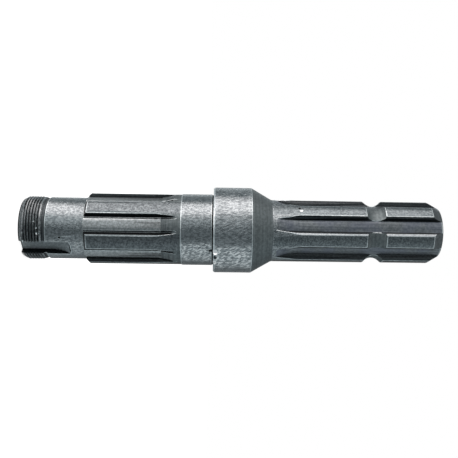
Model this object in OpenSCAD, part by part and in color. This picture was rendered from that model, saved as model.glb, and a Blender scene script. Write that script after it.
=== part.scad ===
// Power take-off shaft end, turned and milled from one steel bar.
// The shaft stands on its threaded end: Z runs along its axis, from the centre of the thread's
// end face to the tip of the output spline, and the lock-washer slot faces -Y.

/* [Thread end] */
// Diameter over the thread's crests, left plain here
thread_d = 35; // [33.5:0.1:38]
// Length from the end face to the relief
thread_len = 11; // [7:0.1:30]
// Length of the lead-in bevel on the end
thread_lead = 2.4; // [0.5:0.1:4]
// Depth of the lead-in bevel, on the radius
thread_lead_depth = 1.4; // [0.3:0.1:2.5]
// Diameter at the bottom of the thread relief
relief_d = 32.8; // [30:0.1:34]
// Width of the relief, with its sloping side
relief_w = 3.3; // [2:0.1:8]
// Diameter of the plain journal
journal_d = 34.4; // [33:0.1:34.9]
// Length of the plain journal
journal_len = 20.6; // [16:0.1:60]

/* [Lock-washer slot] */
// Width of the slot across the thread
slot_w = 8.4; // [4:0.1:12]
// Depth of the slot, from the thread's crests
slot_depth = 4.4; // [2:0.1:7]
// Length of the slot at full depth, from the end face
slot_len = 15.5; // [5:0.1:18]
// Radius of the disc cutter that made the slot
slot_cutter_r = 20; // [10:0.5:24]

/* [Hub spline] */
// Diameter over the teeth
hub_d = 39.4; // [38:0.1:46]
// Number of teeth
hub_teeth = 6; // [4:1:8]
// Width of a tooth
hub_tooth_w = 8.8; // [6:0.1:11]
// Angle from the slot to the first tooth
hub_angle = -18.7; // [-60:0.1:60]
// Diameter of the ground floors, which centre the hub
hub_floor_d = 35.6; // [35:0.1:37]
// Stock that grinding took off the milled floor
hub_floor_stock = 0.12; // [0.02:0.01:0.4]
// Radius of the round relief in each corner of a groove
hub_relief_r = 1; // [0.6:0.1:1.4]
// Depth of the corner reliefs below the ground floor
hub_relief_depth = 0.5; // [0.15:0.05:0.6]
// How far the corner reliefs bite into the flanks
hub_relief_bite = 0.1; // [0.05:0.05:0.4]
// Bevel along the teeth's edges
hub_edge = 0.4; // [0.1:0.05:1]
// Bevel on the teeth's front ends
hub_front = 1.5; // [0.3:0.1:2.4]
// Length of the grooves at full depth
hub_full_len = 37.6; // [15:0.1:39]
// Length of the ground floors
hub_ground_len = 41.5; // [38:0.1:44]
// Length from the teeth's front to the seat
hub_len = 52.1; // [50:0.1:90]
// Radius of the milling cutter
hub_cutter_r = 32; // [20:0.5:40]

/* [Seat and collar] */
// Diameter of the ground seat
seat_d = 40; // [39:0.1:46]
// Length of the ground seat
seat_len = 17; // [8:0.1:40]
// Bevel on the seat's front edge
seat_edge = 0.25; // [0.05:0.05:1]
// Width of the undercut between the seat and the collar
undercut_w = 0.8; // [0.4:0.1:3]
// Depth of the undercut below the seat
undercut_depth = 0.35; // [0.1:0.05:1]
// Depth of the undercut into the collar's shoulder
undercut_face_depth = 0.2; // [0.1:0.05:0.5]
// How far the undercut reaches up the shoulder, from the seat
undercut_face_reach = 0.8; // [0.4:0.1:1.2]
// Diameter of the collar
collar_d = 48; // [44:0.1:60]
// Length of the collar
collar_len = 21; // [6:0.1:40]
// Bevel on the collar's shoulder
collar_edge = 0.7; // [0.2:0.1:1.5]
// Radius of the edge between the collar and its cone
collar_round = 1; // [0.2:0.1:3]
// Slope of the cone, from the axis
cone_angle = 30; // [24:1:45]
// Radius of the fillet at the cone's foot
cone_fillet = 2.5; // [0.5:0.1:4]

/* [Output spline] */
// Diameter over the teeth
pto_d = 34.8; // [32:0.1:38]
// Number of teeth
pto_teeth = 6; // [4:1:8]
// Diameter at the bottom of the grooves
pto_root_d = 28.9; // [27:0.1:29.3]
// Width of a tooth
pto_tooth_w = 8.7; // [6:0.1:10]
// Angle from the slot to the first tooth
pto_angle = -23.5; // [-60:0.1:60]
// Bevel along the teeth's edges
pto_edge = 0.75; // [0.1:0.05:1]
// Length from the cone's foot to the tip
pto_len = 94.9; // [93:0.1:140]
// Length of the grooves at full depth
pto_full_len = 78.1; // [50:0.1:80]
// Radius of the milling cutter
pto_cutter_r = 36.5; // [20:0.5:44]
// Distance from the tip to the middle of the locking groove
lock_from_tip = 37.3; // [25:0.1:50]
// Radius of the locking groove's section
lock_r = 6.8; // [4:0.1:9]
// Diameter at the bottom of the locking groove
lock_floor_d = 29.4; // [26:0.1:32]
// Length of the bevel at the tip
tip_len = 5.7; // [2:0.1:8]
// Slope of the bevel at the tip, from the axis
tip_angle = 30; // [15:1:40]

/* [Centre holes] */
// Diameter of the pilot hole
centre_pilot_d = 3.2; // [1.5:0.1:5]
// Depth of the pilot hole, from the end face
centre_pilot_depth = 9; // [6:0.5:16]
// Diameter of the cone at the end face
centre_mouth_d = 8; // [6:0.1:10]
// Full angle of the cone
centre_angle = 60; // [60:1:90]

/* [Hidden] */
$fn = 96;
// A cut starts this far outside the metal
overrun = 1;
// Facets in a small round of the turned outline
arc_steps = 6;
slot_angle = -90;
steel = "slategray";

relief_z = thread_len;
journal_z = relief_z + relief_w;
hub_z = journal_z + journal_len;
seat_z = hub_z + hub_len;
undercut_z = seat_z + seat_len;
collar_z = undercut_z + undercut_w;
cone_z = collar_z + collar_len;
pto_z = cone_z + (collar_d - pto_d) / 2 / tan(cone_angle);
tip_z = pto_z + pto_len;
lock_z = tip_z - lock_from_tip;
slot_floor_r = thread_d / 2 - slot_depth;
hub_milled_r = hub_floor_d / 2 + hub_floor_stock;
// Middle of a corner relief: off the middle line of the tooth beside it, and along that line
hub_relief_off = hub_tooth_w / 2 + hub_relief_r - hub_relief_bite;
hub_relief_along = sqrt(pow(hub_floor_d / 2 - hub_relief_depth + hub_relief_r, 2) - pow(hub_relief_off, 2));
// The same middle's distance from the middle of the groove
hub_relief_y = hub_relief_along * sin(180 / hub_teeth) - hub_relief_off * cos(180 / hub_teeth);

// Points of a round about a centre, from angle a to angle b
function round_points(centre, r, a, b) =
    [for (i = [0 : arc_steps]) let (t = a + (b - a) * i / arc_steps) centre + r * [cos(t), sin(t)]];

// The two rounds of the cone, each as far back from its corner as its tangents ask
function collar_round_points() =
    let (back = collar_round * tan(cone_angle / 2))
    round_points([collar_d / 2 - collar_round, cone_z - back], collar_round, 0, cone_angle);

function cone_foot_points() =
    let (back = cone_fillet * tan(cone_angle / 2))
    round_points([pto_d / 2 + cone_fillet, pto_z + back], cone_fillet, 180 + cone_angle, 180);

// The bar as it leaves the lathe
module blank() {
    relief_slope = (journal_d - relief_d) / 2;
    rotate_extrude()
        polygon(concat(
            [[0, 0], [thread_d / 2 - thread_lead_depth, 0], [thread_d / 2, thread_lead]],
            [[thread_d / 2, relief_z - relief_slope], [relief_d / 2, relief_z]],
            [[relief_d / 2, journal_z - relief_slope], [journal_d / 2, journal_z]],
            [[journal_d / 2, hub_z], [hub_d / 2 - hub_front, hub_z], [hub_d / 2, hub_z + hub_front]],
            [[hub_d / 2, seat_z], [seat_d / 2 - seat_edge, seat_z], [seat_d / 2, seat_z + seat_edge]],
            [[seat_d / 2, undercut_z], [seat_d / 2 - undercut_depth, undercut_z]],
            [[seat_d / 2 - undercut_depth, collar_z + undercut_face_depth]],
            [[seat_d / 2 + undercut_face_reach, collar_z + undercut_face_depth]],
            [[seat_d / 2 + undercut_face_reach, collar_z], [collar_d / 2 - collar_edge, collar_z]],
            [[collar_d / 2, collar_z + collar_edge]],
            collar_round_points(),
            cone_foot_points(),
            [[pto_d / 2, tip_z - tip_len], [pto_d / 2 - tip_len * tan(tip_angle), tip_z], [0, tip_z]]
        ));
}

// Outline of one straight-sided tooth along +X, with beveled edges, carried on past its top
module tooth_outline(d, tooth_w, edge) {
    half = tooth_w / 2;
    bevel = 2 * edge;
    side = sqrt(pow(d / 2, 2) - pow(half, 2)) - edge;
    polygon([
        [0, -half], [side, -half], [side + bevel, bevel - half],
        [d, bevel - half], [d, half - bevel],
        [side + bevel, half - bevel], [side, half], [0, half]
    ]);
}

// Section of the groove between two teeth, along +X
module groove_outline(d, teeth, tooth_w, edge) {
    reach = d / 2 + overrun;
    half = 180 / teeth;
    difference() {
        polygon([[0, 0], [reach, -reach * tan(half)], [reach, reach * tan(half)]]);
        for (side = [-1, 1])
            rotate(side * half)
                tooth_outline(d, tooth_w, edge);
    }
}

// Level stretch of a groove that a disc cutter makes, from z = 0 up.
// The children are the groove's section along +X.
module level_cut(length) {
    linear_extrude(height = length)
        children();
}

// The stretch beyond it, where the cutter climbs out. axis_r is how far the cutter's axis lies
// from the shaft's.
module climb_cut(length, axis_r) {
    translate([axis_r, 0, length])
        rotate([90, 0, 0])
            rotate([0, 0, 90])
                rotate_extrude(angle = 90)
                    translate([axis_r, 0])
                        mirror([1, 0])
                            children();
}

// The children once in every groove of a spline, turned to its middle
module in_grooves(tooth_angle, teeth) {
    for (i = [0 : teeth - 1])
        rotate(slot_angle + tooth_angle + (i + 0.5) * 360 / teeth)
            children();
}

// Hub groove as milled, with a round relief in each corner that keeps the hub's edges clear
module hub_outline() {
    difference() {
        groove_outline(hub_d, hub_teeth, hub_tooth_w, hub_edge);
        circle(r = hub_milled_r);
    }
    for (side = [-1, 1])
        rotate(side * 180 / hub_teeth)
            translate([hub_relief_along, -side * hub_relief_off])
                circle(r = hub_relief_r);
}

// What the grinding wheel takes off the floor between the reliefs, where the hub is centred
module hub_ground_outline() {
    difference() {
        translate([0, -hub_relief_y])
            square([hub_d / 2 + 2 * overrun, 2 * hub_relief_y]);
        circle(d = hub_floor_d);
    }
}

module hub_grooves() {
    translate([0, 0, hub_z - overrun])
        in_grooves(hub_angle, hub_teeth)
            level_cut(overrun + hub_full_len)
                hub_outline();
}

module hub_run_out() {
    translate([0, 0, hub_z - overrun])
        in_grooves(hub_angle, hub_teeth)
            climb_cut(overrun + hub_full_len, hub_milled_r + hub_cutter_r)
                hub_outline();
}

module hub_ground_floors() {
    translate([0, 0, hub_z - 2 * overrun])
        in_grooves(hub_angle, hub_teeth)
            level_cut(2 * overrun + hub_ground_len)
                hub_ground_outline();
}

module pto_outline() {
    difference() {
        groove_outline(pto_d, pto_teeth, pto_tooth_w, pto_edge);
        circle(d = pto_root_d);
    }
}

module pto_grooves() {
    translate([0, 0, tip_z - pto_full_len])
        in_grooves(pto_angle, pto_teeth)
            level_cut(pto_full_len + overrun)
                pto_outline();
}

module pto_run_out() {
    translate([0, 0, tip_z - pto_full_len])
        in_grooves(pto_angle, pto_teeth)
            rotate([180, 0, 0])
                climb_cut(0, pto_root_d / 2 + pto_cutter_r)
                    pto_outline();
}

// Round groove that the coupler's locking balls or pin drop into
module locking_groove() {
    rotate_extrude()
        translate([lock_floor_d / 2 + lock_r, lock_z])
            circle(r = lock_r);
}

module slot_outline() {
    translate([slot_floor_r, -slot_w / 2])
        square([slot_depth + overrun, slot_w]);
}

// Slot for the lock washer's tongue, cut in through the end face
module washer_slot() {
    translate([0, 0, -overrun])
        rotate(slot_angle) {
            level_cut(overrun + slot_len)
                slot_outline();
            climb_cut(overrun + slot_len, slot_floor_r + slot_cutter_r)
                slot_outline();
        }
}

// Centre hole that the shaft is turned and ground on, going up from z = 0
module centre_hole() {
    slope = tan(centre_angle / 2);
    mouth_r = centre_mouth_d / 2;
    pilot_r = centre_pilot_d / 2;
    rotate_extrude()
        polygon([
            [0, -overrun],
            [mouth_r + overrun * slope, -overrun],
            [pilot_r, (mouth_r - pilot_r) / slope],
            [pilot_r, centre_pilot_depth],
            [0, centre_pilot_depth + pilot_r]
        ]);
}

module pto_shaft() {
    color(steel)
        difference() {
            blank();
            washer_slot();
            hub_grooves();
            hub_run_out();
            hub_ground_floors();
            pto_grooves();
            pto_run_out();
            locking_groove();
            centre_hole();
            translate([0, 0, tip_z])
                mirror([0, 0, 1])
                    centre_hole();
        }
}

pto_shaft();
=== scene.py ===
"""A tractor's power take-off shaft end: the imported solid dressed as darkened, machined steel.

The shaft stands on its threaded end with its axis along +Z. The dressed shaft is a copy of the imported
solid with worn edges, the turns of the thread and the small dents of use, and each kind of machined
surface has its own finish. The photograph shows the shaft lying level, so the camera is turned on its
side: the picture's right is +Z.
"""

import logging
import math
from dataclasses import dataclass, field
from enum import Enum

import bmesh
import bpy
from mathutils import Matrix, Vector


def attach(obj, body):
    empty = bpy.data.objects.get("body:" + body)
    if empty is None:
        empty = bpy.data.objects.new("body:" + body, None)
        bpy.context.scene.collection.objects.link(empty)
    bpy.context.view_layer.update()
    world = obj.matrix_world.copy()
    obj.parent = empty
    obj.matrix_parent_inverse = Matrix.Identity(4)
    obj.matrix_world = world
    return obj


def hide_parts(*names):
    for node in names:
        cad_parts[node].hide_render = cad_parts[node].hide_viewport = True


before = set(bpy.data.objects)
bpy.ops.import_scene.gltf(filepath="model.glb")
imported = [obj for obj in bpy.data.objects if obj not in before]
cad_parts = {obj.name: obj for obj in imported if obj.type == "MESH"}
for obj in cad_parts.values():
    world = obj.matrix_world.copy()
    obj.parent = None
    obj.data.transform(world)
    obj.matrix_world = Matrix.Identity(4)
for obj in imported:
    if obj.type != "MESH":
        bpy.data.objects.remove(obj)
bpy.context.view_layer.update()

log = logging.getLogger("pto_shaft")

Tree = bpy.types.NodeTree
Socket = bpy.types.NodeSocket

MM = 0.001
"""One millimetre in the scene's metres."""

CAD_NODE = "pto_shaft"
"""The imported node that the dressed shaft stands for."""

"""Where the object's box at the start and at the end is written."""

CHANNEL_MAX = 255
SRGB_LINE_END, SRGB_LINE_SLOPE = 0.04045, 12.92
SRGB_OFFSET, SRGB_POWER = 0.055, 2.4
"""The sRGB curve: a straight line near black, and a power beyond it."""

MIX_A, MIX_B, MIX_OUT = 6, 7, 2
"""A Mix node's colour sockets, by number, since its float and colour sockets share names."""

RAY_SAMPLES = 8
"""How many rays a point sends out to find the edges and the corners near it."""

MARK_NOISE = {"Detail": 3.0, "Roughness": 0.6}
"""A tool's marks, where each line has a few finer ones in it."""

GRAIN_NOISE = {"Detail": 4.0, "Roughness": 0.72}
"""A grain nearly as strong where it is finest, which gives ground steel its glitter."""

HEAT_NOISE = {"Detail": 2.0}
"""Wide, soft patches."""

SCRATCH_NOISE = {"Scale": 1.0, "Detail": 1.0}
"""Smooth streaks, whose size comes from the mapping before them."""

SCUFF_NOISE = {"Scale": 1.0, "Detail": 2.0, "Distortion": 0.5}
"""The same with finer detail, bent like worms."""

SQUARE, NEARLY_SQUARE, HALFWAY, LEANING = 0.95, 0.9, 0.5, 0.3
"""How squarely a face looks one way: the least part of its normal that points that way."""


def linear(hex_colour: str) -> tuple[float, float, float, float]:
    """Turns an sRGB hex colour into the linear colour that a shader takes.

    Args:
        hex_colour: Six hex digits after a hash.

    Returns:
        Linear red, green and blue, and an alpha of 1.
    """
    parts = [value / CHANNEL_MAX for value in bytes.fromhex(hex_colour.lstrip("#"))]
    red, green, blue = [
        c / SRGB_LINE_SLOPE if c <= SRGB_LINE_END else ((c + SRGB_OFFSET) / (1 + SRGB_OFFSET)) ** SRGB_POWER
        for c in parts
    ]
    return red, green, blue, 1.0


def add_node(
    tree: Tree,
    kind: str,
    settings: dict[str | int, object] | None = None,
    links: dict[str | int, Socket] | None = None,
) -> bpy.types.Node:
    """Adds one node to a tree, sets it and links its inputs.

    Args:
        tree: The node tree that gets the node.
        kind: The node's type name.
        settings: Values by the name of a property, or by the name or number of an input.
        links: Output sockets by the name or number of the input that takes them.

    Returns:
        The new node.
    """
    node = tree.nodes.new(kind)
    for name, value in (settings or {}).items():
        if isinstance(name, str) and hasattr(node, name):
            setattr(node, name, value)
        else:
            node.inputs[name].default_value = value
    for name, socket in (links or {}).items():
        tree.links.new(socket, node.inputs[name])
    return node


def new_material(name: str) -> bpy.types.Material:
    """Makes a material whose node tree is still empty.

    Args:
        name: The material's name.

    Returns:
        The new material.
    """
    material = bpy.data.materials.new(name)
    material.use_nodes = True
    material.node_tree.nodes.clear()
    return material


def add_object(name: str, data: bpy.types.ID) -> bpy.types.Object:
    """Stands a mesh, a light or a camera in the scene.

    Args:
        name: The object's name.
        data: What the object shows.

    Returns:
        The new object, at the origin.
    """
    thing = bpy.data.objects.new(name, data)
    bpy.context.scene.collection.objects.link(thing)
    return thing


def closed_mesh(
    name: str, verts: list[tuple[float, ...]], faces: list[tuple[int, ...]]
) -> bpy.types.Mesh:
    """Makes a closed mesh whose faces all look outwards.

    Args:
        name: The mesh's name.
        verts: Its points, in metres.
        faces: The numbers of each face's points.

    Returns:
        The new mesh.
    """
    mesh = bpy.data.meshes.new(name)
    mesh.from_pydata(verts, [], faces)
    work = bmesh.new()
    work.from_mesh(mesh)
    bmesh.ops.recalc_face_normals(work, faces=work.faces)
    work.to_mesh(mesh)
    work.free()
    return mesh


class ToolMarks(Enum):
    """Which way the marks of machining run, as the scale of their pattern across and along the shaft."""

    AROUND = (0.02, 0.02, 1.0)
    ALONG = (1.0, 1.0, 0.02)
    CLOUDY = (1.0, 1.0, 1.0)


@dataclass(frozen=True)
class Fade:
    """Between which two values of a pattern an effect grows from nothing to its full share."""

    none: float
    full: float

    def over(self, share: float = 1.0) -> dict[str, float]:
        """The settings of the node that turns the pattern into the effect's share."""
        return {"From Min": self.none, "From Max": self.full, "To Max": share}


@dataclass(frozen=True)
class Grid:
    """Where a point of the steel is, as sockets: in millimetres, its angle from -Y, and unrolled."""

    in_mm: Socket
    angle: Socket
    unrolled: Socket


@dataclass(frozen=True)
class SteelFinish:
    """One machined surface of medium-carbon steel: its dark film, its tool's marks and its wear.

    The real marks are mostly 0.2 mm apart or less, too fine to show in the render, so marks and grain
    are drawn as coarse as they need to show. A metal keeps the default IOR.
    """

    name: str

    # Colours of the steel under its dark film and where the film is thin, and how dull it is.
    film: str
    bare: str
    roughness: float

    # The tool's marks and the grain beside them, and the height of the pattern that they make.
    marks: ToolMarks
    mark_mm: float
    mark_share: float
    grain_mm: float
    relief_mm: float
    grain_stretch: float = 1.0
    film_thins: Fade = Fade(0.42, 0.60)

    # Rubbed edges, which fade over how alike a rounded and a flat normal are.
    edge_share: float = 0.0
    edge: str = "#bcc5c7"
    edge_mm: float = 0.9
    edge_rubs: Fade = Fade(0.997, 0.95)

    # Slanting scratches, whose depth is a share of the pattern's height.
    scratch_share: float = 0.0
    scratch_mm: float = 0.5
    scratch_length_mm: float = 8.0
    scratch_slope_deg: float = 108.0
    scratch_depth: float = 0.4
    scratch_cuts: Fade = Fade(0.54, 0.64)

    # Scuffs on the side that the shaft lay on, told by its middle, from -Y, and the angles from there.
    scuff_share: float = 0.0
    scuff: str = "#c2c7c8"
    scuff_mm: float = 0.75
    scuff_stretch: float = 3.0
    scuff_rubs: Fade = Fade(0.47, 0.60)
    scuff_middle_deg: float = -1.0
    scuff_side: Fade = Fade(math.radians(22.0), math.radians(16.0))

    # Patches that the cutter's heat tinted.
    heat: str = "#545a6c"
    heat_share: float = 0.0
    heat_mm: float = 11.0
    heat_tints: Fade = Fade(0.42, 0.62)

    # The radius at which the surface is unrolled for scratches and scuffs.
    turn_radius_mm: float = 17.5

    # Painted shade: a near-black colour in corners and recesses, which fades over how much of the room a
    # point sees.
    corner_shade: str = "#0b0d0e"
    shade_reach_mm: float = 1.3
    unshaded: Fade = Fade(0.45, 0.8)

    def material(self) -> bpy.types.Material:
        """Builds the finish.

        Returns:
            The material, with its patterns in real millimetres.
        """
        material = new_material(self.name)
        tree = material.node_tree
        grid = self._grid(tree)
        height = self._pattern(tree, grid)
        thin = add_node(tree, "ShaderNodeMapRange", self.film_thins.over(), {"Value": height})
        rubbed = thin.outputs["Result"]
        if self.scratch_share:
            scratch = self._scratches(tree, grid)
            both = {"operation": "ADD", "use_clamp": True}
            rubbed = add_node(tree, "ShaderNodeMath", both, {0: rubbed, 1: scratch}).outputs[0]
            cut = {"operation": "MULTIPLY_ADD", 1: -self.scratch_depth}
            height = add_node(tree, "ShaderNodeMath", cut, {0: scratch, 2: height}).outputs[0]
        steel = {"data_type": "RGBA", MIX_A: linear(self.film), MIX_B: linear(self.bare)}
        colour = add_node(tree, "ShaderNodeMix", steel, {"Factor": rubbed}).outputs[MIX_OUT]
        if self.heat_share:
            colour = self._heated(tree, grid, colour)
        if self.scuff_share:
            colour = self._scuffed(tree, grid, colour)
        if self.edge_share:
            colour = self._edged(tree, colour)
        # Painted shade: darker in corners and recesses, by how little of the room a point sees.
        colour = self._with_corner_shade(tree, colour)
        relief = {"Strength": 1.0, "Distance": self.relief_mm * MM}
        bump = add_node(tree, "ShaderNodeBump", relief, {"Height": height})
        metal = {"Metallic": 1.0, "Roughness": self.roughness}
        dressed = {"Base Color": colour, "Normal": bump.outputs[0]}
        shader = add_node(tree, "ShaderNodeBsdfPrincipled", metal, dressed)
        add_node(tree, "ShaderNodeOutputMaterial", None, {"Surface": shader.outputs[0]})
        return material

    def _grid(self, tree: Tree) -> Grid:
        """Works out where a point of the steel is.

        Args:
            tree: The finish's node tree.

        Returns:
            The point's place, told in three ways.
        """
        place = add_node(tree, "ShaderNodeTexCoord").outputs["Object"]
        scale = {"operation": "SCALE", "Scale": 1 / MM}
        in_mm = add_node(tree, "ShaderNodeVectorMath", scale, {0: place}).outputs[0]
        axes = add_node(tree, "ShaderNodeSeparateXYZ", None, {0: in_mm}).outputs
        forward = add_node(tree, "ShaderNodeMath", {"operation": "MULTIPLY", 1: -1.0}, {0: axes["Y"]})
        sides = {0: axes["X"], 1: forward.outputs[0]}
        angle = add_node(tree, "ShaderNodeMath", {"operation": "ARCTAN2"}, sides).outputs[0]
        roll = {"operation": "MULTIPLY", 1: self.turn_radius_mm}
        around = add_node(tree, "ShaderNodeMath", roll, {0: angle}).outputs[0]
        unrolled = add_node(tree, "ShaderNodeCombineXYZ", None, {"X": around, "Y": axes["Z"]})
        return Grid(in_mm, angle, unrolled.outputs[0])

    def _pattern(self, tree: Tree, grid: Grid) -> Socket:
        """Mixes the tool's marks with the grain.

        Args:
            tree: The finish's node tree.
            grid: Where the point is.

        Returns:
            The pattern's height, from 0 to 1.
        """
        lines = add_node(tree, "ShaderNodeMapping", {"Scale": self.marks.value}, {0: grid.in_mm})
        wide = {"Scale": 1 / self.mark_mm, **MARK_NOISE}
        marks = add_node(tree, "ShaderNodeTexNoise", wide, {"Vector": lines.outputs[0]})
        stretch = {"Scale": (1, 1, 1 / self.grain_stretch)}
        drawn = add_node(tree, "ShaderNodeMapping", stretch, {0: grid.in_mm})
        fine = {"Scale": 1 / self.grain_mm, **GRAIN_NOISE}
        grain = add_node(tree, "ShaderNodeTexNoise", fine, {"Vector": drawn.outputs[0]})
        share = {"data_type": "FLOAT", "Factor": self.mark_share}
        both = {"A": grain.outputs["Fac"], "B": marks.outputs["Fac"]}
        return add_node(tree, "ShaderNodeMix", share, both).outputs["Result"]

    def _slanted(self, tree: Tree, grid: Grid, length_mm: float, width_mm: float) -> Socket:
        """Lays streaks of one size across the unrolled surface, all with the scratches' slant.

        Args:
            tree: The finish's node tree.
            grid: Where the point is.
            length_mm: How long a streak is.
            width_mm: How wide a streak is.

        Returns:
            The place to read a noise at, where a streak is one unit long and wide.
        """
        slant = {
            "vector_type": "TEXTURE",
            "Rotation": (0, 0, math.radians(self.scratch_slope_deg)),
            "Scale": (length_mm, width_mm, 1),
        }
        return add_node(tree, "ShaderNodeMapping", slant, {0: grid.unrolled}).outputs[0]

    def _scratches(self, tree: Tree, grid: Grid) -> Socket:
        """Draws thin slanting scratches.

        Args:
            tree: The finish's node tree.
            grid: Where the point is.

        Returns:
            How much of the film is scratched away.
        """
        streaks = self._slanted(tree, grid, self.scratch_length_mm, self.scratch_mm)
        noise = add_node(tree, "ShaderNodeTexNoise", SCRATCH_NOISE, {"Vector": streaks})
        cuts = self.scratch_cuts.over(self.scratch_share)
        return add_node(tree, "ShaderNodeMapRange", cuts, {"Value": noise.outputs["Fac"]}).outputs["Result"]

    def _heated(self, tree: Tree, grid: Grid, colour: Socket) -> Socket:
        """Tints the steel in wide patches, where the cutter's heat coloured it.

        Args:
            tree: The finish's node tree.
            grid: Where the point is.
            colour: The steel's colour so far.

        Returns:
            The tinted colour.
        """
        patches = {"Scale": 1 / self.heat_mm, **HEAT_NOISE}
        noise = add_node(tree, "ShaderNodeTexNoise", patches, {"Vector": grid.in_mm})
        tints = self.heat_tints.over(self.heat_share)
        share = add_node(tree, "ShaderNodeMapRange", tints, {"Value": noise.outputs["Fac"]})
        heat = {"data_type": "RGBA", MIX_B: linear(self.heat)}
        links = {"Factor": share.outputs["Result"], MIX_A: colour}
        return add_node(tree, "ShaderNodeMix", heat, links).outputs[MIX_OUT]

    def _scuffed(self, tree: Tree, grid: Grid, colour: Socket) -> Socket:
        """Rubs worm-like bright scuffs through the film, on the side that the shaft lay on.

        Args:
            tree: The finish's node tree.
            grid: Where the point is.
            colour: The steel's colour so far.

        Returns:
            The scuffed colour.
        """
        middle = {"operation": "SUBTRACT", 1: math.radians(self.scuff_middle_deg)}
        off = add_node(tree, "ShaderNodeMath", middle, {0: grid.angle})
        size = add_node(tree, "ShaderNodeMath", {"operation": "ABSOLUTE"}, {0: off.outputs[0]})
        near = self.scuff_side.over(self.scuff_share)
        side = add_node(tree, "ShaderNodeMapRange", near, {"Value": size.outputs[0]})
        streaks = self._slanted(tree, grid, self.scuff_mm * self.scuff_stretch, self.scuff_mm)
        noise = add_node(tree, "ShaderNodeTexNoise", SCUFF_NOISE, {"Vector": streaks})
        rubs = add_node(tree, "ShaderNodeMapRange", self.scuff_rubs.over(), {"Value": noise.outputs["Fac"]})
        both = {0: side.outputs["Result"], 1: rubs.outputs["Result"]}
        share = add_node(tree, "ShaderNodeMath", {"operation": "MULTIPLY"}, both)
        scuff = {"data_type": "RGBA", MIX_B: linear(self.scuff)}
        links = {"Factor": share.outputs[0], MIX_A: colour}
        return add_node(tree, "ShaderNodeMix", scuff, links).outputs[MIX_OUT]

    def _edged(self, tree: Tree, colour: Socket) -> Socket:
        """Rubs the film thin beside sharp edges, where a rounded normal leaves the flat one.

        Args:
            tree: The finish's node tree.
            colour: The steel's colour so far.

        Returns:
            The colour with its rubbed edges.
        """
        reach = {"samples": RAY_SAMPLES, "Radius": self.edge_mm * MM}
        rounded = add_node(tree, "ShaderNodeBevel", reach)
        flat = add_node(tree, "ShaderNodeNewGeometry")
        normals = {0: rounded.outputs[0], 1: flat.outputs["Normal"]}
        alike = add_node(tree, "ShaderNodeVectorMath", {"operation": "DOT_PRODUCT"}, normals)
        rubs = self.edge_rubs.over(self.edge_share)
        share = add_node(tree, "ShaderNodeMapRange", rubs, {"Value": alike.outputs["Value"]})
        edge = {"data_type": "RGBA", MIX_B: linear(self.edge)}
        links = {"Factor": share.outputs["Result"], MIX_A: colour}
        return add_node(tree, "ShaderNodeMix", edge, links).outputs[MIX_OUT]

    def _with_corner_shade(self, tree: Tree, colour: Socket) -> Socket:
        """Paints shade into corners and recesses, from where little of the room is seen.

        Args:
            tree: The finish's node tree.
            colour: The steel's colour so far.

        Returns:
            The colour with its painted shade.
        """
        reach = {"Distance": self.shade_reach_mm * MM, "samples": RAY_SAMPLES}
        room = add_node(tree, "ShaderNodeAmbientOcclusion", reach)
        share = add_node(tree, "ShaderNodeMapRange", self.unshaded.over(), {"Value": room.outputs["AO"]})
        corner_shade = {"data_type": "RGBA", MIX_A: linear(self.corner_shade)}
        links = {"Factor": share.outputs["Result"], MIX_B: colour}
        return add_node(tree, "ShaderNodeMix", corner_shade, links).outputs[MIX_OUT]


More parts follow.
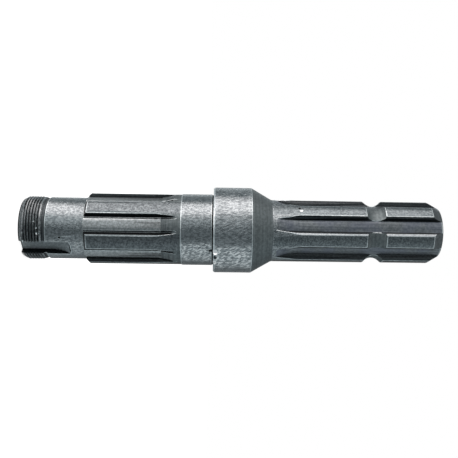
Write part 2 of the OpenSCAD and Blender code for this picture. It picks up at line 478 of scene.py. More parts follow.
class Surface(Enum):
    """The kinds of machined surface on the shaft, each with its finish."""

    # The thread, taken as cut: a dark film that thins in patches, with painted shade in its roots.
    THREAD = SteelFinish(
        "threaded steel", film="#474e50", bare="#939a9d", roughness=0.34, marks=ToolMarks.AROUND,
        mark_mm=0.8, mark_share=0.35, grain_mm=1.0, relief_mm=0.03,
    )
    # The thread's relief, turned with a parting tool: dark, and ribbed round the shaft.
    RELIEF = SteelFinish(
        "parted relief steel", film="#2a2f31", bare="#4d5356", roughness=0.50, marks=ToolMarks.AROUND,
        mark_mm=0.9, mark_share=0.7, grain_mm=1.2, relief_mm=0.04,
    )
    # Ground and handled: a cool grey with a worm-like sheen, scuffed on the side it lay on.
    JOURNAL = SteelFinish(
        "ground journal steel", film="#575e61", bare="#858d90", roughness=0.21, marks=ToolMarks.AROUND,
        mark_mm=0.6, mark_share=0.1, grain_mm=0.8, relief_mm=0.16, grain_stretch=1.8,
        edge_share=0.6, scuff_share=0.35,
    )
    # The bearing seat, ground to size: the same, with a few scratches and more scuffs.
    SEAT = SteelFinish(
        "ground seat steel", film="#575e61", bare="#858d90", roughness=0.19, marks=ToolMarks.AROUND,
        mark_mm=0.6, mark_share=0.1, grain_mm=0.8, relief_mm=0.12, grain_stretch=1.8,
        edge_share=0.6, scratch_share=0.1, scuff_share=0.9, scuff_mm=0.62,
    )
    # Turned smooth, then knocked about: long slanting scratches through the film.
    COLLAR = SteelFinish(
        "scuffed collar steel", film="#585f62", bare="#8b9396", roughness=0.19, marks=ToolMarks.AROUND,
        mark_mm=0.9, mark_share=0.1, grain_mm=0.8, relief_mm=0.15, grain_stretch=2.8,
        edge_share=0.6, scratch_share=0.5, scratch_mm=0.4, scratch_length_mm=6.0, scuff_share=1.0,
    )
    # Turned only: dull and even, with faint clouds.
    TURNED = SteelFinish(
        "turned steel", film="#4e5557", bare="#636c6e", roughness=0.52, marks=ToolMarks.AROUND,
        mark_mm=1.1, mark_share=0.4, grain_mm=1.6, relief_mm=0.02,
    )
    # The bevel at the tip, turned: darker than the rest under its film.
    TIP = SteelFinish(
        "turned tip steel", film="#3f4547", bare="#555c5f", roughness=0.50, marks=ToolMarks.AROUND,
        mark_mm=1.1, mark_share=0.4, grain_mm=1.4, relief_mm=0.02,
    )
    # Tops of the hub's teeth, turned: a dark film with a grainy sheen, rubbed at the edges.
    HUB_LAND = SteelFinish(
        "hub tooth steel", film="#3b4144", bare="#697174", roughness=0.26, marks=ToolMarks.CLOUDY,
        mark_mm=1.4, mark_share=0.3, grain_mm=0.8, relief_mm=0.09,
        edge_share=0.3, scratch_share=0.1,
    )
    # The plain neck between the cone and the output's teeth: rubbed pale and scratched.
    NECK = SteelFinish(
        "rubbed neck steel", film="#474e51", bare="#8b9396", roughness=0.34, marks=ToolMarks.CLOUDY,
        mark_mm=1.2, mark_share=0.3, grain_mm=0.7, relief_mm=0.07, scratch_share=0.5,
    )
    # Tops of the output's teeth, turned: rubbed to an even, softer sheen by the coupler.
    OUTPUT_LAND = SteelFinish(
        "output tooth steel", film="#434a4d", bare="#6f787b", roughness=0.31, marks=ToolMarks.CLOUDY,
        mark_mm=1.2, mark_share=0.3, grain_mm=0.8, relief_mm=0.07,
        edge_share=0.2, scratch_share=0.1,
    )
    # The hub's centring floors, ground last: the film is thin and the steel pale.
    GROUND_FLOOR = SteelFinish(
        "ground floor steel", film="#6f7577", bare="#979ea0", roughness=0.34, marks=ToolMarks.CLOUDY,
        mark_mm=1.3, mark_share=0.3, grain_mm=1.0, relief_mm=0.05,
    )
    # The hub's floors beyond the grinding wheel's reach, as milled: oily and a step darker.
    RUN_OUT = SteelFinish(
        "milled run-out steel", film="#42484a", bare="#626a6c", roughness=0.45, marks=ToolMarks.AROUND,
        mark_mm=0.9, mark_share=0.5, grain_mm=1.1, relief_mm=0.03,
    )
    # The output's floors as the cutter left them, with the faint violet of its heat.
    MILLED_FLOOR = SteelFinish(
        "milled steel", film="#4d5356", bare="#6f767a", roughness=0.42, marks=ToolMarks.ALONG,
        mark_mm=0.9, mark_share=0.5, grain_mm=1.3, relief_mm=0.04, heat_share=0.3,
    )
    # Bottom of the lock-washer slot, milled: dull, with marks along it.
    SLOT_FLOOR = SteelFinish(
        "milled slot steel", film="#6d7578", bare="#8c9497", roughness=0.70, marks=ToolMarks.ALONG,
        mark_mm=0.9, mark_share=0.35, grain_mm=1.2, relief_mm=0.03,
    )
    # Bevels on one side of every tooth, the side that faces the key softbox in the camera's view, smooth
    # and bright: a painted highlight.
    HIGHLIGHT_BEVEL = SteelFinish(
        "painted highlight bevel steel", film="#5b6265", bare="#7b8386", roughness=0.21, marks=ToolMarks.ALONG,
        mark_mm=0.8, mark_share=0.4, grain_mm=1.0, relief_mm=0.02,
    )
    # Sides of the teeth, milled, and other faces turned from the light: painted nearly black, as painted
    # shade.
    SHADED_FLANK = SteelFinish(
        "painted shade flank steel", film="#1d2022", bare="#34393b", roughness=0.30, marks=ToolMarks.ALONG,
        mark_mm=0.8, mark_share=0.5, grain_mm=1.0, relief_mm=0.015,
    )
    # Corner reliefs and other narrow grooves, painted nearly black: painted shade.
    CORNER = SteelFinish(
        "painted shade corner steel", film="#0c0e0f", bare="#17191a", roughness=0.60, marks=ToolMarks.CLOUDY,
        mark_mm=1.0, mark_share=0.5, grain_mm=1.0, relief_mm=0.01,
    )
    # Edges where the film is rubbed through to the bright metal.
    WORN_EDGE = SteelFinish(
        "rubbed steel edge", film="#939da0", bare="#bec8cb", roughness=0.40, marks=ToolMarks.CLOUDY,
        mark_mm=1.5, mark_share=0.5, grain_mm=1.0, relief_mm=0.02, unshaded=Fade(0.05, 0.3),
    )
    # Bottoms of fresh nicks, where the brightest metal lies open.
    GOUGE = SteelFinish(
        "gouged steel", film="#d2d7d8", bare="#eceeee", roughness=0.35, marks=ToolMarks.CLOUDY,
        mark_mm=1.5, mark_share=0.5, grain_mm=1.0, relief_mm=0.02, unshaded=Fade(0.02, 0.15),
    )


@dataclass(frozen=True)
class Nick:
    """A small gouge that a knock left, cut by a ball: where it is and how big.

    Attributes:
        polar_deg: Its angle round the axis, from +X.
        height: Its height above the thread's end face.
        surface_radius: Radius of the surface that it is in.
        ball: Radius of the ball that cuts it.
        depth: How deep the ball goes in.
        stretch: How far the ball is drawn out along the shaft.
        surface: The finish of its bottom.
    """

    polar_deg: float
    height: float
    surface_radius: float
    ball: float
    depth: float
    stretch: float = 1.0
    surface: Surface = Surface.GOUGE


@dataclass(frozen=True)
class Facet:
    """A face of the shaft: its middle, in metres, and the direction that it looks in."""

    centre: Vector
    normal: Vector

    @property
    def radius(self) -> float:
        """Distance of the middle from the shaft's axis."""
        return math.hypot(self.centre.x, self.centre.y)

    @property
    def outward(self) -> float:
        """The normal's part that points away from the axis."""
        return (self.normal.x * self.centre.x + self.normal.y * self.centre.y) / self.radius

    @property
    def sideways(self) -> float:
        """The normal's part that points round the axis, which is below 0 on the tooth side that gets the
        painted highlight.
        """
        return (self.normal.y * self.centre.x - self.normal.x * self.centre.y) / self.radius

    @property
    def polar_deg(self) -> float:
        """The middle's angle round the axis, from +X."""
        return math.degrees(math.atan2(self.centre.y, self.centre.x))


@dataclass
class DressedShaft:
    """The whole shaft, one piece of steel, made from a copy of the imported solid.

    Names that end in _at and _end are heights above the thread's end face, and angles round the axis
    start at +X.
    """

    # Where one surface ends and the next begins.
    relief_at: float = 11.0 * MM
    run_out_end: float = 12.2 * MM
    journal_at: float = 14.3 * MM
    slot_shade_at: float = 26.3 * MM
    slot_end: float = 27.7 * MM
    hub_at: float = 34.9 * MM
    ground_floors_end: float = 76.4 * MM
    ring_at: float = 82.6 * MM
    run_out_wear_end: float = 86.0 * MM
    seat_at: float = 87.0 * MM
    undercut_at: float = 104.0 * MM
    undercut_end: float = 105.05 * MM
    shoulder_edge_end: float = 105.6 * MM
    cone_at: float = 125.8 * MM
    output_at: float = 137.2 * MM
    neck_end: float = 150.0 * MM
    lock_at: float = 194.83 * MM
    tip_bevel_at: float = 226.4 * MM

    # Radii of the surfaces, and where they give way to others.
    thread_radius: float = 17.5 * MM
    relief_radius: float = 16.4 * MM
    hub_radius: float = 19.7 * MM
    hub_ground_limit: float = 17.86 * MM
    hub_foot_limit: float = 18.0 * MM
    hub_corner_limit: float = 19.0 * MM
    undercut_reach: float = 21.0 * MM
    output_radius: float = 17.4 * MM
    output_floor_radius: float = 14.45 * MM
    lock_radius: float = 6.8 * MM
    centre_hole_radius: float = 4.1 * MM
    facet_slack: float = 0.15 * MM

    # The lock-washer slot: its half width, its floor's distance from the axis, and its faces' limits.
    slot_half: float = 4.2 * MM
    slot_floor_at: float = 13.1 * MM
    slot_top: float = 17.19 * MM
    slot_reach: float = 0.05 * MM
    slot_hair: float = 0.03 * MM

    # The thread, and the ring of metal behind it in which its last turns fade.
    thread_pitch: float = 1.5 * MM
    thread_depth: float = 0.9 * MM
    crest_share: float = 1 / 8
    root_share: float = 1 / 5
    thread_lead_turns: float = 1.5
    thread_clearance: float = 0.6 * MM
    thread_overrun: float = 0.4 * MM
    ring_lead: float = 0.7 * MM
    ring_overlap: float = 0.5 * MM
    ring_drop: float = 0.15 * MM
    ring_lip: float = 0.45 * MM
    cut_clearance: float = 1.0 * MM
    steps_per_turn: int = 96

    # Wear: how wide a rubbed edge is, how much less at the hub's run-outs, and which edges stay sharp.
    edge_wear: float = 0.22 * MM
    run_out_wear: float = 0.4
    edge_angle_deg: float = 26.0
    hub_foot: float = 4.0 * MM
    corner_reach: float = 0.6 * MM

    # How a face has to lean: the rounded corner at the cone, the floors, and the tops of the teeth.
    cone_corner_least: float = 0.08
    cone_corner_most: float = 0.46
    floor_lean: float = 0.12
    hub_land_facing: float = 0.97
    output_land_facing: float = 0.985

    # The side of the shaft that faces the picture's bottom, away from the key softbox, where the teeth are
    # painted nearly black: painted shade.
    shaded_side_deg: float = -51.0
    shaded_side_half_deg: float = 20.0

    # The mesh: which points are one, which faces are one flat, and which edges shade smooth.
    weld_distance: float = 0.0005 * MM
    flat_angle_deg: float = 0.4
    smooth_angle_deg: float = 16.0
    ball_subdivisions: int = 2

    # A pit in the journal, two nicks just past the neck, four dents at the collar, six in the thread. The
    # pit, one nick and one dent are painted nearly black: painted shade.
    nicks: list[Nick] = field(default_factory=lambda: [
        Nick(-113.9, 22.1 * MM, 17.2 * MM, 0.6 * MM, 0.4 * MM, 1.3, Surface.CORNER),
        Nick(-177.4, 152.2 * MM, 17.4 * MM, 0.8 * MM, 0.4 * MM, 1.2, Surface.CORNER),
        Nick(-172.0, 153.0 * MM, 17.4 * MM, 0.9 * MM, 0.4 * MM, 1.4),
        Nick(-101.6, 105.5 * MM, 23.9 * MM, 1.9 * MM, 1.1 * MM, 1.2),
        Nick(-93.0, 105.6 * MM, 24.0 * MM, 1.8 * MM, 0.6 * MM, 1.1, Surface.RELIEF),
        Nick(-84.1, 105.2 * MM, 23.9 * MM, 1.5 * MM, 1.0 * MM, 1.1),
        Nick(-97.3, 103.5 * MM, 20.2 * MM, 1.2 * MM, 0.7 * MM, 1.0, Surface.SHADED_FLANK),
        Nick(-122.2, 1.9 * MM, 17.2 * MM, 0.8 * MM, 0.5 * MM, 1.0, Surface.WORN_EDGE),
        Nick(-112.0, 1.6 * MM, 17.0 * MM, 0.6 * MM, 0.4 * MM, 1.0, Surface.WORN_EDGE),
        Nick(-106.5, 2.4 * MM, 17.4 * MM, 0.7 * MM, 0.5 * MM, 1.0, Surface.WORN_EDGE),
        Nick(-131.0, 9.8 * MM, 17.4 * MM, 0.7 * MM, 0.5 * MM, 1.6, Surface.WORN_EDGE),
        Nick(-121.0, 10.6 * MM, 17.3 * MM, 0.7 * MM, 0.5 * MM, 1.8, Surface.WORN_EDGE),
        Nick(-143.0, 8.4 * MM, 17.4 * MM, 0.6 * MM, 0.4 * MM, 1.4, Surface.WORN_EDGE),
    ])

    def build(self) -> bpy.types.Object:
        """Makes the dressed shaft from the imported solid.

        Returns:
            The object that stands for the CAD node.
        """
        shaft = self._copy_of_solid()
        for surface in Surface:
            shaft.data.materials.append(surface.value.material())
        self._wear_edges(shaft)
        self._boolean(shaft, self._run_out_ring(), "UNION")
        self._boolean(shaft, self._slot_cutter(), "DIFFERENCE")
        self._boolean(shaft, self._thread_cutter(), "DIFFERENCE")
        self._dress(shaft)
        self._boolean(shaft, self._nick_cutters(), "DIFFERENCE")
        shaft.data.shade_smooth()
        shaft.data.set_sharp_from_angle(angle=math.radians(self.smooth_angle_deg))
        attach(shaft, "root")
        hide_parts(CAD_NODE)
        return shaft

    def _copy_of_solid(self) -> bpy.types.Object:
        """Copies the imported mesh, with its seams welded and its flat faces whole.

        Returns:
            The copy, which isn't dressed yet.
        """
        mesh = bpy.data.meshes.new("dressed_shaft")
        work = bmesh.new()
        work.from_mesh(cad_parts[CAD_NODE].data)
        bmesh.ops.remove_doubles(work, verts=work.verts, dist=self.weld_distance)
        flat = math.radians(self.flat_angle_deg)
        bmesh.ops.dissolve_limit(work, angle_limit=flat, verts=work.verts, edges=work.edges, delimit=set())
        work.to_mesh(mesh)
        work.free()
        return add_object("dressed_shaft", mesh)

    def _apply(self, shaft: bpy.types.Object) -> None:
        """Puts the result of the shaft's modifiers into its mesh.

        Args:
            shaft: The shaft, which gets a new mesh.
        """
        bpy.context.view_layer.update()
        graph = bpy.context.evaluated_depsgraph_get()
        made = bpy.data.meshes.new_from_object(shaft.evaluated_get(graph))
        shaft.modifiers.clear()
        shaft.data = made

    def _boolean(self, shaft: bpy.types.Object, mesh: bpy.types.Mesh, operation: str) -> None:
        """Joins a closed mesh to the shaft, or cuts it away.

        Args:
            shaft: The shaft, whose mesh changes.
            mesh: The metal to add or to take.
            operation: UNION or DIFFERENCE.
        """
        for material in shaft.data.materials:
            mesh.materials.append(material)
        tool = add_object(mesh.name, mesh)
        change = shaft.modifiers.new(mesh.name, "BOOLEAN")
        change.operation = operation
        change.solver = "MANIFOLD"
        change.object = tool
        self._apply(shaft)
        bpy.data.objects.remove(tool)

    def _wears(self, edge: bmesh.types.BMEdge) -> bool:
        """Finds whether an edge stands out enough, and openly enough, to be rubbed.

        Args:
            edge: An edge of the undressed shaft.

        Returns:
            Whether it is rubbed down to a flat.
        """
        middle = (edge.verts[0].co + edge.verts[1].co) / 2
        radius = math.hypot(middle.x, middle.y)
        if middle.z < self.relief_at or radius < self.centre_hole_radius:
            return False
        if self.undercut_at <= middle.z <= self.undercut_end and radius < self.undercut_reach:
            return False
        if abs(middle.z - self.hub_at) < self.hub_foot and radius < self.hub_foot_limit:
            return False
        if abs(middle.z - self.output_at) < self.corner_reach:
            return False
        if not edge.is_manifold or not edge.is_convex:
            return False
        out = Vector((middle.x, middle.y, 0)).normalized()
        openness = max(face.normal.dot(out) for face in edge.link_faces)
        if middle.z > self.hub_at and openness < NEARLY_SQUARE:
            return False
        return edge.calc_face_angle() > math.radians(self.edge_angle_deg)

    def _wear_share(self, edge: bmesh.types.BMEdge) -> float:
        """Says how much of the full wear an edge has: less where the hub's cutters ran out.

        Args:
            edge: An edge of the undressed shaft.

        Returns:
            From 0, sharp, to 1, fully worn.
        """
        if not self._wears(edge):
            return 0.0
        height = (edge.verts[0].co.z + edge.verts[1].co.z) / 2
        return self.run_out_wear if self.ground_floors_end < height < self.run_out_wear_end else 1.0

    def _wear_edges(self, shaft: bpy.types.Object) -> None:
        """Rubs the sharp edges down to a narrow flat of bare metal.

        Args:
            shaft: The shaft, whose mesh changes.
        """
        work = bmesh.new()
        work.from_mesh(shaft.data)
        weight = work.edges.layers.float.new("bevel_weight_edge")
        for edge in work.edges:
            edge[weight] = self._wear_share(edge)
        work.to_mesh(shaft.data)
        work.free()
        wear = shaft.modifiers.new("edge wear", "BEVEL")
        wear.width = self.edge_wear
        wear.segments = 1
        wear.limit_method = "WEIGHT"
        wear.use_clamp_overlap = False
        wear.material = list(Surface).index(Surface.WORN_EDGE)
        self._apply(shaft)

    def _run_out_ring(self) -> bpy.types.Mesh:
        """Makes the metal at the relief's near side, which the thread's last, fading turns are cut in.

        Returns:
            The ring, whose sides reach into the shaft's own metal.
        """
        inside = self.relief_radius - self.ring_overlap
        start = self.relief_at - self.ring_lead
        top = self.thread_radius - self.ring_drop
        profile = [
            (inside, start), (top, start), (top, self.relief_at),
            (self.relief_radius + self.ring_lip, self.run_out_end),
            (inside, self.run_out_end + self.ring_overlap),
        ]
        verts, faces = [], []
        sides = len(profile)
        for i in range(self.steps_per_turn):
            turn = 2 * math.pi * i / self.steps_per_turn
            verts += [(r * math.cos(turn), r * math.sin(turn), z) for r, z in profile]
        for i in range(self.steps_per_turn):
            k = (i + 1) % self.steps_per_turn
            for j in range(sides):
                m = (j + 1) % sides
                faces.append((i * sides + j, k * sides + j, k * sides + m, i * sides + m))
        return closed_mesh("run-out ring", verts, faces)

    def _slot_cutter(self) -> bpy.types.Mesh:
        """Makes the part of the lock-washer slot that the run-out ring filled.

        Returns:
            A block, a hair inside the slot's walls.
        """
        wide = self.slot_half - self.slot_hair
        near, far = -(self.slot_floor_at + self.slot_hair), -(self.thread_radius + self.cut_clearance)
        low, high = self.relief_at - self.cut_clearance, self.journal_at - self.slot_hair
        verts = [(x, y, z) for x in (-wide, wide) for y in (near, far) for z in (low, high)]
        faces = [(0, 1, 3, 2), (4, 5, 7, 6), (0, 1, 5, 4), (2, 3, 7, 6), (0, 2, 6, 4), (1, 3, 7, 5)]
        return closed_mesh("slot cutter", verts, faces)

    def _thread_cutter(self) -> bpy.types.Mesh:
        """Makes the ribbon of metal that the right-hand thread's groove takes away.

        Returns:
            The ribbon, from below the end face to the run-out's end.
        """
        pitch = self.thread_pitch
        outside = self.thread_radius + self.thread_clearance
        root = self.thread_radius - self.thread_depth
        groove_half = pitch * (1 - self.crest_share) / 2
        root_half = pitch * self.root_share / 2
        profile = [
            (root, -root_half), (self.thread_radius, -groove_half), (outside, -groove_half),
            (outside, groove_half), (self.thread_radius, groove_half), (root, root_half),
        ]
        start, stop = -self.thread_lead_turns * pitch, self.run_out_end + self.thread_overrun
        count = round((stop - start) / pitch * self.steps_per_turn)
        verts, faces = [], []
        for i in range(count + 1):
            turn = 2 * math.pi * i / self.steps_per_turn
            z = start + pitch * i / self.steps_per_turn
            verts += [(r * math.cos(turn), r * math.sin(turn), z + dz) for r, dz in profile]
        sides = len(profile)
        for i in range(count):
            for j in range(sides):
                k = (j + 1) % sides
                faces.append((i * sides + j, (i + 1) * sides + j, (i + 1) * sides + k, i * sides + k))
        faces.append(tuple(range(sides)))
        faces.append(tuple(count * sides + j for j in reversed(range(sides))))
        return closed_mesh("thread cutter", verts, faces)

    def _nick_cutters(self) -> bpy.types.Mesh:
        """Makes the balls of metal that the nicks take away, each with the finish that it leaves.

        Returns:
            All the balls in one mesh.
        """
        mesh = bpy.data.meshes.new("nick cutters")
        kinds = list(Surface)
        work = bmesh.new()
        for nick in self.nicks:
            polar = math.radians(nick.polar_deg)
            out = nick.surface_radius + nick.ball - nick.depth
            place = Matrix.Translation((out * math.cos(polar), out * math.sin(polar), nick.height))
            shape = place @ Matrix.Diagonal((1, 1, nick.stretch, 1))
            made = bmesh.ops.create_icosphere(
                work, subdivisions=self.ball_subdivisions, radius=nick.ball, matrix=shape
            )
            for face in {face for vert in made["verts"] for face in vert.link_faces}:
                face.material_index = kinds.index(nick.surface)
        work.to_mesh(mesh)
        work.free()
        return mesh

    def _surface_of(self, face: Facet) -> Surface:
        """Says how a face of the shaft was machined.

        Args:
            face: The face's middle and direction.

        Returns:
            The kind of surface.
        """
        height, along = face.centre.z, face.normal.z
        at_end = abs(along) > SQUARE and not self.relief_at < height < self.tip_bevel_at
        if face.radius < self.centre_hole_radius or at_end:
            return Surface.TURNED
        if self._in_slot(face):
            # The slot's walls are painted nearly black: painted shade.
            if abs(face.normal.x) > SQUARE:
                return Surface.SHADED_FLANK
            # The slot's far end is painted nearly black: painted shade.
            return Surface.SLOT_FLOOR if height < self.slot_shade_at else Surface.CORNER
        if height < self.journal_at:
            ring = height < self.run_out_end and face.radius > self.relief_radius + self.facet_slack
            return Surface.THREAD if height < self.relief_at or ring else Surface.RELIEF
        if height < self.hub_at:
            return Surface.JOURNAL
        if height < self.seat_at:
            return self._hub_surface(face)
        if height < self.undercut_at:
            return Surface.SEAT if abs(along) < LEANING else Surface.WORN_EDGE
        # The undercut groove by the collar is painted nearly black: painted shade.
        if height < self.undercut_end and face.radius < self.undercut_reach:
            return Surface.CORNER
        beside_cone = abs(height - self.cone_at) < self.corner_reach
        at_cone = beside_cone and self.cone_corner_least < along < self.cone_corner_most
        at_shoulder = height < self.shoulder_edge_end and -NEARLY_SQUARE < along < -LEANING
        if at_cone or at_shoulder:
            return Surface.WORN_EDGE
        if height < self.cone_at:
            return Surface.COLLAR
        return Surface.TURNED if height < self.output_at else self._output_surface(face)

    def _in_slot(self, face: Facet) -> bool:
        """Finds whether a face belongs to the lock-washer slot.

        Args:
            face: The face's middle and direction.

        Returns:
            Whether it is a wall or the floor of the slot.
        """
        if face.centre.y > 0 or face.centre.z > self.slot_end:
            return False
        between_walls = abs(face.centre.x) < self.slot_half + self.slot_reach
        sunk = self.slot_floor_at - self.facet_slack < face.radius < self.slot_top
        return between_walls and sunk and (abs(face.normal.x) > SQUARE or -face.normal.y > HALFWAY)

    def _on_shaded_side(self, face: Facet) -> bool:
        """Whether a face is on the side that gets painted shade, towards the picture's bottom."""
        return abs(face.polar_deg - self.shaded_side_deg) < self.shaded_side_half_deg

    def _hub_surface(self, face: Facet) -> Surface:
        """Says how a face of the hub spline was machined.

        Args:
            face: The face's middle and direction.

        Returns:
            The kind of surface.
        """
        past_teeth = face.centre.z > self.ring_at
        if face.outward > self.hub_land_facing and face.radius > self.hub_radius - self.facet_slack:
            if past_teeth:
                return Surface.TURNED
            # Tops of the teeth on the shaded side are painted nearly black: painted shade.
            return Surface.SHADED_FLANK if self._on_shaded_side(face) else Surface.HUB_LAND
        # Faces that look towards the floor are painted nearly black: painted shade.
        if face.normal.z < -HALFWAY:
            return Surface.SHADED_FLANK
        if past_teeth:
            return Surface.TURNED
        if abs(face.sideways) < self.floor_lean:
            ground = face.radius < self.hub_ground_limit and face.centre.z < self.ground_floors_end
            return Surface.GROUND_FLOOR if ground else Surface.RUN_OUT
        # Corner reliefs at the teeth's feet are painted nearly black: painted shade.
        if face.outward > LEANING and face.radius < self.hub_corner_limit:
            return Surface.CORNER
        # Bevels on one side of a tooth get a painted highlight, the others painted shade.
        lit_side = face.outward > LEANING and face.sideways < 0 and not self._on_shaded_side(face)
        return Surface.HIGHLIGHT_BEVEL if lit_side else Surface.SHADED_FLANK

    def _output_surface(self, face: Facet) -> Surface:
        """Says how a face of the output spline was machined.

        Args:
            face: The face's middle and direction.

        Returns:
            The kind of surface.
        """
        if face.centre.z > self.tip_bevel_at and face.normal.z > LEANING:
            return Surface.TIP
        if face.outward > self.output_land_facing and face.radius > self.output_radius - self.facet_slack:
            if face.centre.z < self.neck_end:
                return Surface.NECK
            # Tops of the teeth on the shaded side are painted nearly black: painted shade.
            return Surface.SHADED_FLANK if self._on_shaded_side(face) else Surface.OUTPUT_LAND
        in_lock = abs(face.centre.z - self.lock_at) < self.lock_radius and abs(face.sideways) < LEANING
        if in_lock and face.radius > self.output_floor_radius + self.facet_slack:
            return Surface.TURNED
        if abs(face.sideways) < self.floor_lean:
            return Surface.MILLED_FLOOR
        # Bevels on one side of a tooth get a painted highlight, the others painted shade.
        lit_side = face.outward > HALFWAY and face.sideways < 0 and not self._on_shaded_side(face)
        return Surface.HIGHLIGHT_BEVEL if lit_side else Surface.SHADED_FLANK

    def _dress(self, shaft: bpy.types.Object) -> None:
        """Gives each face, apart from the rubbed edges, the finish of how it was machined.

        Args:
            shaft: The shaft, whose faces change their material.
        """
        kinds = list(Surface)
        worn = kinds.index(Surface.WORN_EDGE)
        for face in shaft.data.polygons:
            if face.material_index != worn:
                face.material_index = kinds.index(self._surface_of(Facet(face.center, face.normal)))


@dataclass(frozen=True)
class Panel:
    """A studio panel beside the shaft, between two bearings, and how bright it is to the world's 1."""

    name: str
    low_deg: float
    high_deg: float
    radiance: float
    height: float
    colour: str = "#f5fcff"


@dataclass
class Studio:
    """Floor, soft lamps and camera. Directions round the shaft are told from the camera's, picture up."""

    towards_camera: Vector = field(default_factory=lambda: Vector((-0.664, -0.748, 0)).normalized())
    picture_up: Vector = field(default_factory=lambda: Vector((-0.748, 0.664, 0)).normalized())

    # Panels that only the shaft's gloss shows, from a foot beside it to a wall farther off.
    panel_foot: float = 22.0 * MM
    panel_distance: float = 0.7
    panel_lift: float = 1.0 * MM
    panels: list[Panel] = field(default_factory=lambda: [
        Panel("key softbox", 45, 91, radiance=3.9, height=0.6, colour="#fff3f0"),
        Panel("rear card", 91, 145, radiance=0.6, height=1.2),
        Panel("rear softbox", 145, 158, radiance=1.2, height=0.8),
        Panel("rear black card", 158, 178, radiance=0.3, height=1.2),
        Panel("dull card", -44, 12, radiance=0.47, height=1.2),
        Panel("grey card", -100, -44, radiance=0.85, height=1.2),
        Panel("dark card", -125, -100, radiance=0.65, height=1.2),
        Panel("black card", -178, -125, radiance=0.3, height=1.2),
    ])

    # The soft lamp over the floor, and the light from all round.
    lamp_distance: float = 0.9
    lamp_offset: float = 0.3
    lamp_size: float = 0.8
    lamp_watts: float = 6.0
    white: str = "#ffffff"
    room_light: float = 0.45
    room_seen: float = 1.0

    # The floor: half its width, its paper, and how much it glows to the camera.
    floor_reach: float = 6.0
    floor_paper: str = "#d8d8d8"
    floor_glow: float = 0.8

    # The camera: where it stands and aims, and its lens.
    camera_distance: float = 366.3 * MM
    aim_height: float = 122.7 * MM
    aim_above_axis: float = 0.73 * MM
    yaw_deg: float = 2.34
    roll_deg: float = 0.8
    lens_mm: float = 50.6
    sensor_mm: float = 36.0
    shift_x: float = -0.035
    nearest: float = 0.01
    farthest: float = 50.0

    def build(self) -> None:
        """Sets the floor, world, panels, lamp and camera."""
        self._floor()
        self._world()
        for panel in self.panels:
            self._panel(panel)
        self._lamp()
        self._camera()

    def _seen_or_mirrored(self, tree: Tree) -> Socket:
        """Finds what kind of ray has come.

        Args:
            tree: The node tree that asks.

        Returns:
            1 for what the camera, a reflection or a see-through part shows, else 0.
        """
        ray = add_node(tree, "ShaderNodeLightPath").outputs
        either = {0: ray["Is Camera Ray"], 1: ray["Is Glossy Ray"]}
        seen = add_node(tree, "ShaderNodeMath", {"operation": "MAXIMUM"}, either)
        any_ray = {0: seen.outputs[0], 1: ray["Is Transmission Ray"]}
        return add_node(tree, "ShaderNodeMath", {"operation": "MAXIMUM"}, any_ray).outputs[0]

    def _floor(self) -> None:
        """Lays a white floor under the shaft. It glows a little to the camera and keeps the shadow."""
        mesh = bpy.data.meshes.new("floor")
        reach = self.floor_reach
        corners = [(-reach, -reach, 0), (reach, -reach, 0), (reach, reach, 0), (-reach, reach, 0)]
        mesh.from_pydata(corners, [], [(0, 1, 2, 3)])
        floor = add_object("floor", mesh)
        # Rolled paper: matt and even, so the shaft's soft shadow is all that it shows.
        material = new_material("white paper floor")
        tree = material.node_tree
        seen = self._seen_or_mirrored(tree)
        glow = add_node(tree, "ShaderNodeMath", {"operation": "MULTIPLY", 1: self.floor_glow}, {0: seen})
        white = {"Color": linear(self.white)}
        emission = add_node(tree, "ShaderNodeEmission", white, {"Strength": glow.outputs[0]})
        paper = add_node(tree, "ShaderNodeBsdfDiffuse", {"Color": linear(self.floor_paper)})
        both = add_node(tree, "ShaderNodeAddShader", None, {0: emission.outputs[0], 1: paper.outputs[0]})
        add_node(tree, "ShaderNodeOutputMaterial", None, {"Surface": both.outputs[0]})
        mesh.materials.append(material)

    def _world(self) -> None:
        """Gives white to the camera and to reflections, and a soft grey light from all round."""
        world = bpy.data.worlds.new("studio")
        bpy.context.scene.world = world
        world.use_nodes = True
        tree = world.node_tree
        tree.nodes.clear()
        light = {"To Min": self.room_light, "To Max": self.room_seen}
        strength = add_node(tree, "ShaderNodeMapRange", light, {"Value": self._seen_or_mirrored(tree)})
        links = {"Strength": strength.outputs["Result"]}
        white = add_node(tree, "ShaderNodeBackground", {"Color": linear(self.white)}, links)
        add_node(tree, "ShaderNodeOutputWorld", None, {"Surface": white.outputs[0]})

    def _bearing(self, above_camera_deg: float) -> Vector:
        """The direction round the shaft at an angle from the camera's towards the picture's top."""
        turn = math.radians(above_camera_deg)
        return self.towards_camera * math.cos(turn) + self.picture_up * math.sin(turn)

    def _panel(self, panel: Panel) -> None:
        """Stands one panel beside the shaft that only the shaft's gloss shows.

        It is a wedge on the floor from the shaft outwards, and a wall that goes up from its far end,
        so that the lowest part of the shaft mirrors it as the rest does.

        Args:
            panel: Its bearings, brightness and height.
        """
        low, high = self._bearing(panel.low_deg), self._bearing(panel.high_deg)
        lift = Vector((0, 0, self.panel_lift))
        top = Vector((0, 0, panel.height))
        verts = [
            low * self.panel_foot + lift, high * self.panel_foot + lift,
            high * self.panel_distance + lift, low * self.panel_distance + lift,
            high * self.panel_distance + top, low * self.panel_distance + top,
        ]
        mesh = bpy.data.meshes.new(panel.name)
        mesh.from_pydata(verts, [], [(0, 1, 2, 3), (3, 2, 4, 5)])
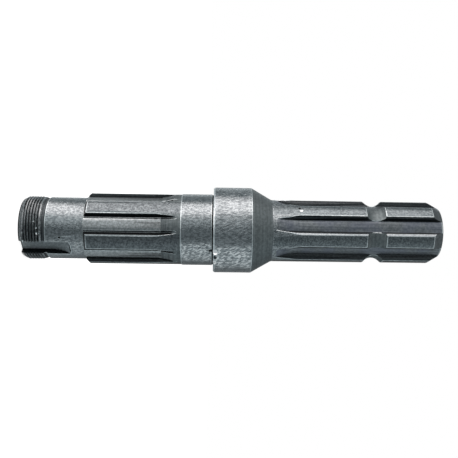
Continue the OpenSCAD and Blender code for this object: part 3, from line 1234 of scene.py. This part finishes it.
        # Lit cloth or card: even all over, so the steel shows it as one soft band.
        material = new_material(panel.name)
        tree = material.node_tree
        light = {"Color": linear(panel.colour), "Strength": panel.radiance}
        glow = add_node(tree, "ShaderNodeEmission", light)
        add_node(tree, "ShaderNodeOutputMaterial", None, {"Surface": glow.outputs[0]})
        mesh.materials.append(material)
        stand = add_object(panel.name, mesh)
        stand.visible_camera = False
        stand.visible_diffuse = False
        stand.visible_shadow = False

    def _lamp(self) -> None:
        """Hangs a soft lamp over the floor, for the shadow at the shaft's foot."""
        light = bpy.data.lights.new("soft lamp", "AREA")
        light.size = self.lamp_size
        light.energy = self.lamp_watts
        lamp = add_object("soft lamp", light)
        lamp.location = Vector((0, 0, self.lamp_distance)) + self.picture_up * self.lamp_offset
        lamp.visible_camera = False
        lamp.visible_glossy = False

    def _camera(self) -> None:
        """Stands the camera where the photograph was taken from, turned on its side."""
        yaw, roll = math.radians(self.yaw_deg), math.radians(self.roll_deg)
        axis = Vector((0, 0, 1))
        look = -self.towards_camera * math.cos(yaw) + axis * math.sin(yaw)
        level_right = axis * math.cos(yaw) + self.towards_camera * math.sin(yaw)
        up = self.picture_up * math.cos(roll) - level_right * math.sin(roll)
        right = level_right * math.cos(roll) + self.picture_up * math.sin(roll)
        aim = axis * self.aim_height + self.picture_up * self.aim_above_axis
        data = bpy.data.cameras.new("camera")
        data.sensor_fit = "HORIZONTAL"
        data.sensor_width = self.sensor_mm
        data.lens = self.lens_mm
        data.shift_x = self.shift_x
        data.clip_start = self.nearest
        data.clip_end = self.farthest
        camera = add_object("camera", data)
        turned = Matrix((right, up, -look)).transposed().to_4x4()
        camera.matrix_world = Matrix.Translation(aim - look * self.camera_distance) @ turned
        bpy.context.scene.camera = camera


def main() -> None:
    """Builds the shaft and the studio."""
    logging.basicConfig(level=logging.INFO, format="%(name)s: %(message)s")
    shaft = DressedShaft().build()
    log.info("%s: %d faces, %d finishes", shaft.name, len(shaft.data.polygons), len(Surface))
    studio = Studio()
    studio.build()
    log.info("studio: floor, world, %d panels, lamp and camera", len(studio.panels))
    bpy.context.scene.view_settings.view_transform = "Standard"
    bpy.context.view_layer.update()


if __name__ == "__main__":
    main()
